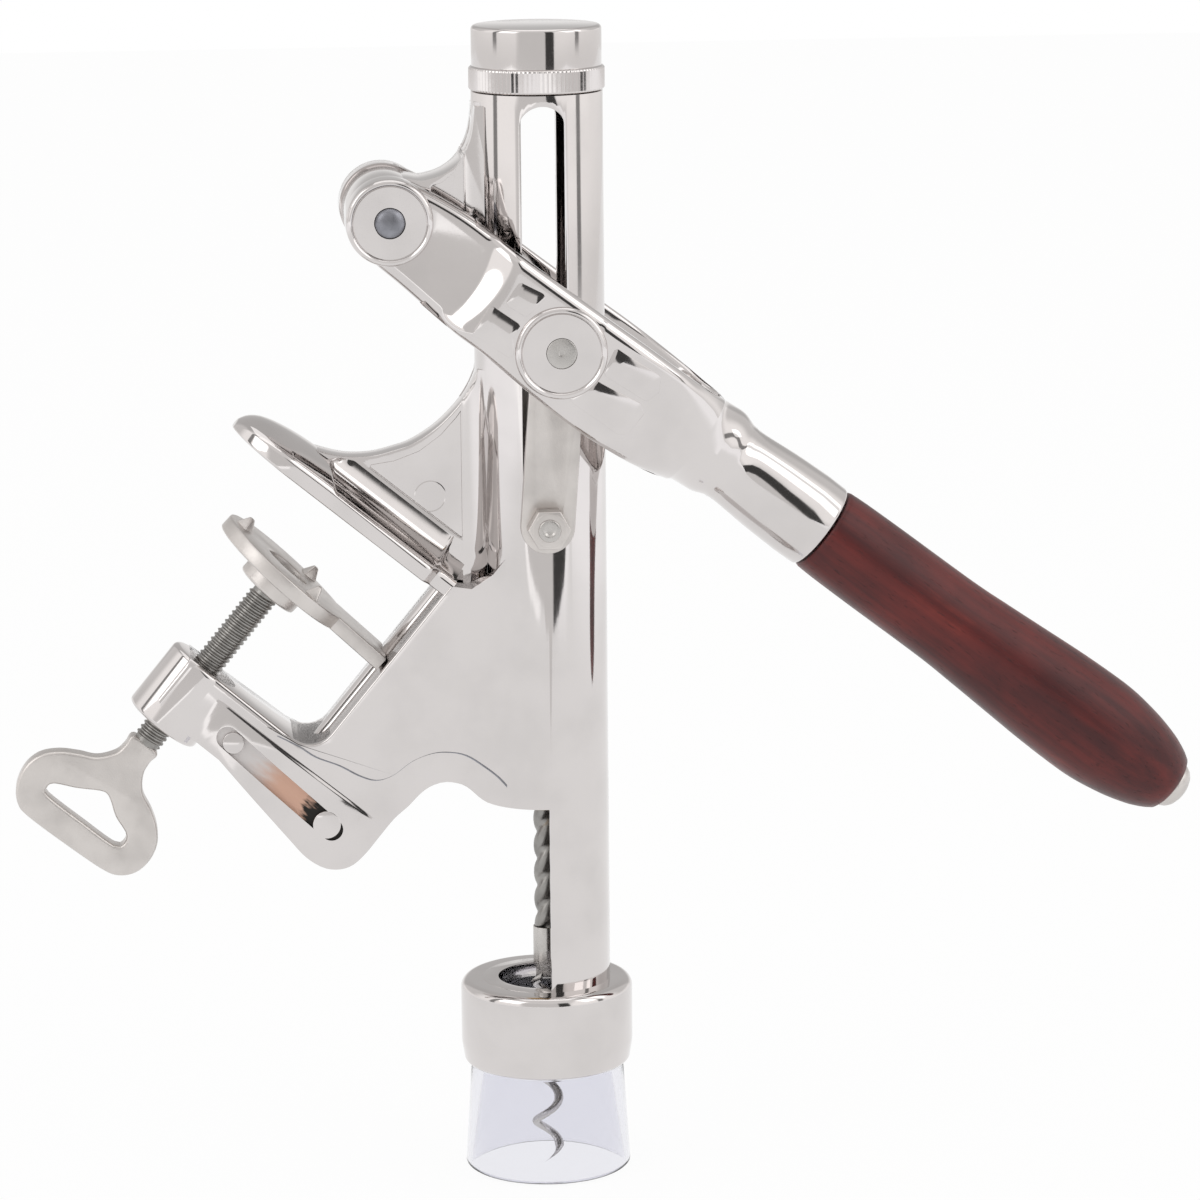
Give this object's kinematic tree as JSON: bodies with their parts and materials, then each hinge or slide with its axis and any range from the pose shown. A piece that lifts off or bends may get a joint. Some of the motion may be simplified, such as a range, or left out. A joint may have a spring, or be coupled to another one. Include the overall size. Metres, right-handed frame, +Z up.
{
  "type": "counter mount corkscrew",
  "caption": "Lever corkscrew with a screw clamp for a counter edge, slotted barrel, side links, wooden grip and a clear bell that centres the bottle's neck.",
  "frame": {"origin": "centre of the clamp's counter face, where the clamp screw's axis meets the underside of the upper jaw", "axes": "+Z up along the barrel, +X from the clamp towards the handle side, +Y away from the viewer across the barrel"},
  "size_m": [0.3161, 0.0576, 0.3083],
  "materials": {
    "cast_nickel": "polished",
    "satin_nickel": "satin",
    "turned_steel": "turned",
    "grey_steel": "matt",
    "dark_steel": "satin",
    "bronze": "turned",
    "stained_wood": "semi-gloss",
    "clear_plastic": "clear"
  },
  "bodies": {
    "frame": {"barrel": "cast_nickel", "bell_ring": "cast_nickel", "clamp_block": "cast_nickel", "clamp_arm": "cast_nickel", "upper_jaw": "cast_nickel", "pivot_lug": "cast_nickel", "top_cap": "cast_nickel", "rear_pin": "dark_steel", "clear_bell": "clear_plastic"},
    "follower_body": {"follower_nut": "bronze"},
    "carriage_body": {"carriage": "turned_steel", "retainer_plug": "bronze", "thrust_washer": "bronze", "cross_bolt": "turned_steel", "link_nuts": "satin_nickel", "slot_bushes": "bronze"},
    "link_body": {"link_near": "satin_nickel", "link_far": "satin_nickel", "eye_bushes": "bronze"},
    "spindle_body": {"spindle": "grey_steel", "collar": "turned_steel", "worm": "grey_steel"},
    "lever_body": {"yoke": "cast_nickel", "wood_grip": "stained_wood", "grip_rod": "turned_steel", "end_nut": "satin_nickel", "link_pins": "turned_steel"},
    "pad_body": {"clamp_pad": "satin_nickel"},
    "screw_body": {"clamp_screw": "grey_steel", "clamp_key": "satin_nickel", "screw_washer": "turned_steel"}
  },
  "joints": [
    {"name": "lever_swing", "type": "hinge", "parent": "frame", "child": "lever_body", "pos_m": [0.0144, 0, 0.0773], "axis": [0, -1, 0], "range_deg": [0, 115]},
    {"name": "carriage_slide", "type": "slide", "parent": "frame", "child": "carriage_body", "axis": [0, 0, 1], "range_m": [0, 0.0965]},
    {"name": "link_swing", "type": "hinge", "parent": "carriage_body", "child": "link_body", "pos_m": [0.0544, 0, -0.0034], "axis": [0, -1, 0], "range_deg": [0, 40.3]},
    {"name": "spindle_spin", "type": "hinge", "parent": "carriage_body", "child": "spindle_body", "pos_m": [0.0544, 0, -0.0127], "axis": [0, 0, 1], "range_deg": [0, 850]},
    {"name": "follower_slide", "type": "slide", "parent": "frame", "child": "follower_body", "axis": [0, 0, 1], "range_m": [0, 0.0617]},
    {"name": "clamp_travel", "type": "slide", "parent": "frame", "child": "pad_body", "axis": [0.6361, 0, 0.7716], "range_m": [-0.025, 0.0065]},
    {"name": "clamp_screw_turn", "type": "hinge", "parent": "pad_body", "child": "screw_body", "pos_m": [-0.01857, 0, -0.02253], "axis": [0.6361, 0, 0.7716], "range_deg": [-6010, 1570]}
  ],
  "couplings": [
    {"joint": "carriage_slide", "follows": "lever_swing", "m_per_rad": 0.048069},
    {"joint": "link_swing", "follows": "lever_swing", "ratio": 0.34983},
    {"joint": "spindle_spin", "follows": "lever_swing", "ratio": 7.3777},
    {"joint": "follower_slide", "follows": "lever_swing", "m_per_rad": 0.030691},
    {"joint": "clamp_screw_turn", "follows": "clamp_travel", "rad_per_m": 4188.8}
  ]
}
